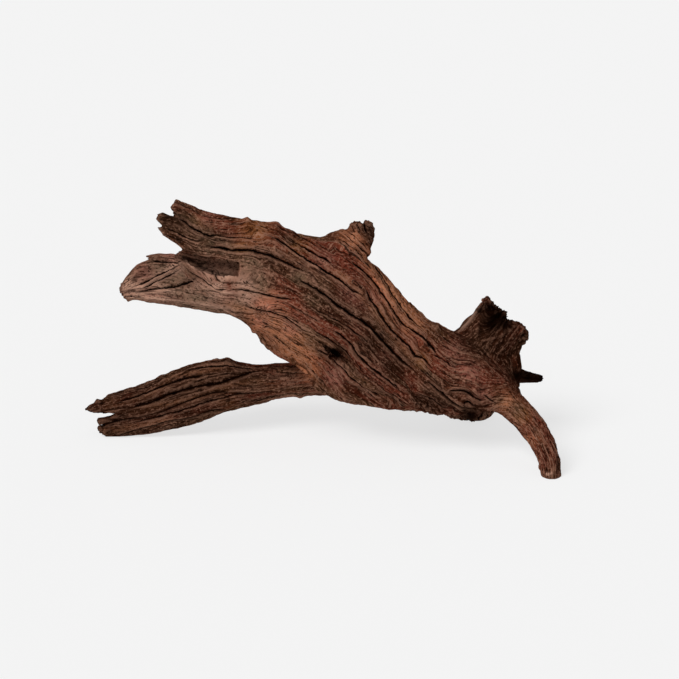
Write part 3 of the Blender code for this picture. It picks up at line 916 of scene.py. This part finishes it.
def fibre_group():
    """The fibres of one run of grain: fine threads, broad streaks, hairline cracks and grit."""
    group = bpy.data.node_groups.new("fibres", "ShaderNodeTree")
    group.interface.new_socket(name="Grain", in_out="INPUT", socket_type="NodeSocketVector")
    coming = group.nodes.new("NodeGroupInput").outputs["Grain"]
    veins = grain_noise(group, coming, 0.30, 0.016, 2.0)
    gaps = grain_noise(group, coming, 0.12, 0.05, 1.0)
    from_vein = calculate(group, "ABSOLUTE", calculate(group, "SUBTRACT", veins, 0.5))
    made = {
        "Threads": grain_noise(group, coming, 0.75, 0.030, 4.0),
        "Streaks": grain_noise(group, coming, 0.16, 0.012, 3.0),
        "Cracks": calculate(
            group, "MULTIPLY", spread(group, from_vein, 0.02, 0.004), spread(group, gaps, 0.46, 0.60)),
        "Grit": grain_noise(group, coming, 0.9, 0.40, 3.0),
    }
    for name in made:
        group.interface.new_socket(name=name, in_out="OUTPUT", socket_type="NodeSocketFloat")
    going = group.nodes.new("NodeGroupOutput")
    for name, value in made.items():
        group.links.new(value, going.inputs[name])
    return group


fibres = fibre_group()
finish = bpy.data.materials.new("weathered wood")
finish.use_nodes = True
tree = finish.node_tree


def stored(name, kind="Fac"):
    return node(tree, "ShaderNodeAttribute", attribute_name=name).outputs[kind]


def bell(source, shift, steepness):
    """1 where the source is minus the shift, and less to either side."""
    away = calculate(tree, "ADD", source, shift)
    square = calculate(tree, "MULTIPLY", away, away)
    return calculate(tree, "EXPONENT", calculate(tree, "MULTIPLY", square, steepness))


# The shares' squares add up to one, so what swings round a half keeps its swing where grains are mixed
made_of = {"Threads": 0.5, "Streaks": 0.5, "Cracks": 0.0, "Grit": 0.5}
for letter in "abcd":
    part = stored("share_" + letter)
    group = node(tree, "ShaderNodeGroup", node_tree=fibres)
    tree.links.new(stored("grain_" + letter, "Vector"), group.inputs["Grain"])
    for name, total in made_of.items():
        swing = group.outputs[name]
        if name != "Cracks":
            swing = calculate(tree, "SUBTRACT", swing, 0.5)
        made_of[name] = calculate(tree, "MULTIPLY_ADD", swing, part, total)
threads, streaks, cracks, grit = made_of.values()

# The furrows: how far beside each a point lies in half widths, how far it is there, and its depth
furrow = 0.0
painted_lip_highlight = 0.0
for letter in "abcde":
    beside, presence, depth = node(
        tree, "ShaderNodeSeparateXYZ", Vector=stored("furrow_" + letter, "Vector")).outputs
    slit = bell(beside, 0.0, -3.0)
    furrow = calculate(tree, "MAXIMUM", furrow, calculate(tree, "MULTIPLY", slit, calculate(
        tree, "MINIMUM", depth, 1.2)))
    # A thin painted highlight on the lip on the side that slopes down to each furrow
    lip = bell(beside, 1.9, -1.6)
    painted_lip_highlight = calculate(tree, "MAXIMUM", painted_lip_highlight, calculate(tree, "MULTIPLY", lip, calculate(
        tree, "MINIMUM", depth, 1.0)))

in_wood = node(tree, "ShaderNodeTexCoord").outputs["Object"]
mottle = node(tree, "ShaderNodeTexNoise", Vector=in_wood, Scale=70.0, Detail=5.0,
              Roughness=0.65).outputs["Fac"]
pits = node(tree, "ShaderNodeTexNoise", Vector=in_wood, Scale=800.0, Detail=3.0,
            Roughness=0.7).outputs["Fac"]
specks = calculate(tree, "MULTIPLY_ADD", grit, 0.6, calculate(tree, "MULTIPLY", pits, 0.4))
light_or_dark, red_or_olive = node(
    tree, "ShaderNodeSeparateXYZ", Vector=stored("tone", "Vector")).outputs[:2]


def painted(colour, share, paint, most):
    return blend(tree, calculate(tree, "MULTIPLY", share, most), colour, paint)


colour = blend(tree, spread(tree, streaks, 0.36, 0.62), DEEP_BROWN, BROWN)
colour = painted(colour, spread(tree, light_or_dark, 0.0, 0.7), PALE_BROWN, 0.45)
colour = painted(colour, spread(tree, light_or_dark, 0.0, -0.7), DEEP_BROWN, 0.6)
colour = painted(colour, spread(tree, red_or_olive, 0.0, 0.5), RED, 0.7)
colour = painted(colour, spread(tree, red_or_olive, 0.0, -0.5), OLIVE, 0.6)
colour = painted(colour, spread(tree, mottle, 0.52, 0.75), PALE_BROWN, 0.6)
blotches = spread(tree, mottle, 0.25, 0.55)
# Of these, dark is partly painted shade, the stripes are painted shade and lit is a painted highlight on
# rounded ridges
for name, paint, most in (("grey", GREY, 0.6), ("red", RED, 0.6), ("ochre", OCHRE, 0.6), ("tan", TAN, 0.75),
                          ("warm", WARM, 0.8), ("rose", ROSE, 0.55), ("moss", MOSS, 0.62),
                          ("dark", DARK, 0.8), ("shade_bands", DARK, 0.7), ("lit", LIT, 0.65)):
    colour = painted(colour, calculate(tree, "MULTIPLY", stored(name), blotches), paint, most)
colour = painted(colour, spread(tree, threads, 0.52, 0.66), PALE_BROWN, 0.6)
colour = painted(colour, spread(tree, threads, 0.48, 0.36), DARK, 0.7)
colour = painted(colour, spread(tree, specks, 0.53, 0.60), PALE_BROWN, 0.75)
colour = painted(colour, spread(tree, specks, 0.47, 0.41), DARK, 0.85)
colour = painted(colour, spread(tree, stored("crest"), 0.1, 0.6), PALE_BROWN, 0.45)
colour = painted(colour, stored("ridges"), TAN, 0.7)
# Painted shade: darker where a point lies sunk below the wood round it
colour = painted(colour, spread(tree, stored("crest"), -0.1, -0.8), DARK, 0.8)
# Painted highlight along the lips beside the furrows
colour = painted(colour, painted_lip_highlight, PALE_BROWN, 0.5)
# Painted shade: the hairline cracks, and then the furrows' slits, go near black
colour = painted(colour, cracks, CREVICE_SHADE, 0.8)
colour = blend(tree, spread(tree, furrow, 0.2, 0.9), colour, CREVICE_SHADE)
colour = painted(colour, stored("torn"), DEEP_BROWN, 0.5)
colour = painted(colour, stored("inner"), DARK, 0.15)
# The dark patches once more, partly painted shade
colour = painted(colour, stored("dark"), DARK, 0.42)
# Painted shade, near black, under the overhangs and in the hollows
colour = painted(colour, stored("dirt"), CREVICE_SHADE, 0.9)
deepened = node(tree, "ShaderNodeGamma", Color=colour, Gamma=CONTRAST).outputs[0]
colour = node(tree, "ShaderNodeMix", data_type="RGBA", blend_type="MULTIPLY", in0=1.0, in6=deepened,
              in7=BALANCE).outputs[2]
raised = calculate(tree, "MULTIPLY_ADD", threads, 1.0, calculate(tree, "MULTIPLY", specks, 1.1))
sunken = calculate(tree, "MULTIPLY_ADD", furrow, 0.8, calculate(tree, "MULTIPLY", cracks, 0.7))
fine_relief = calculate(tree, "SUBTRACT", raised, sunken)
surface = tree.nodes["Principled BSDF"]
surface.inputs["Specular IOR Level"].default_value = 0.0
tree.links.new(colour, surface.inputs["Base Color"])
tree.links.new(calculate(tree, "MULTIPLY_ADD", threads, -0.3, 0.92), surface.inputs["Roughness"])
bump = node(tree, "ShaderNodeBump", Strength=1.0, Distance=FIBRE_HEIGHT, Height=fine_relief)
tree.links.new(bump.outputs[0], surface.inputs["Normal"])
wood.data.materials.clear()
wood.data.materials.append(finish)
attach(wood, "root")
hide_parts("driftwood")

# The floor, the light and the camera.
# A plain pale floor, two large soft lamps over the front and the sides, and a camera that looks down at
# the wood from the front.
FLOOR_GAP = 0.2 * MM        # below the feet, so that the two never share a plane
FLOOR_SHADE = 0.22
FLOOR_GLOW = 0.694          # with the lamps, it brings the floor to the photograph's pale grey
ROOM_LIGHT = 0.30
sheet = bmesh.new()
bmesh.ops.create_grid(sheet, x_segments=1, y_segments=1, size=6)
bmesh.ops.translate(sheet, vec=(0, 0, -FLOOR_GAP), verts=sheet.verts)
floor = mesh_object("floor", sheet)
pale = bpy.data.materials.new("pale floor")
pale.use_nodes = True
glowing = pale.node_tree.nodes["Principled BSDF"]
glowing.inputs["Base Color"].default_value = (FLOOR_SHADE, FLOOR_SHADE, FLOOR_SHADE, 1)
glowing.inputs["Specular IOR Level"].default_value = 0
glowing.inputs["Emission Color"].default_value = (1, 1, 1, 1)
glowing.inputs["Emission Strength"].default_value = FLOOR_GLOW
floor.data.materials.append(pale)


def aimed(thing, place, target):
    thing.location = place
    thing.rotation_euler = (Vector(target) - Vector(place)).to_track_quat("-Z", "Y").to_euler()


def sun(name, direction, softness, strength):
    lamp = bpy.data.lights.new(name, "SUN")
    lamp.angle = math.radians(softness)
    lamp.energy = strength
    made = bpy.data.objects.new(name, lamp)
    bpy.context.scene.collection.objects.link(made)
    aimed(made, direction, (0, 0, 0))


sun("key lamp", (-0.6, -0.5, 0.9), 30, 2.6)
sun("fill lamp", (0.9, -0.6, 0.7), 60, 0.12)
world = bpy.data.worlds.new("studio")
world.use_nodes = True
background = world.node_tree.nodes["Background"]
background.inputs["Color"].default_value = (1, 1, 1, 1)
background.inputs["Strength"].default_value = ROOM_LIGHT
bpy.context.scene.world = world
bpy.context.scene.view_settings.view_transform = "Standard"

SENSOR = 36
PICTURE_POINTS = 679
lens = bpy.data.cameras.new("camera")
lens.sensor_width = SENSOR
lens.lens = SENSOR * LOOK_FROM / (PICTURE_POINTS * POINT)
lens.clip_end = 20
camera = bpy.data.objects.new("camera", lens)
bpy.context.scene.collection.objects.link(camera)
aimed(camera, EYE, LOOK_AT)
bpy.context.scene.camera = camera
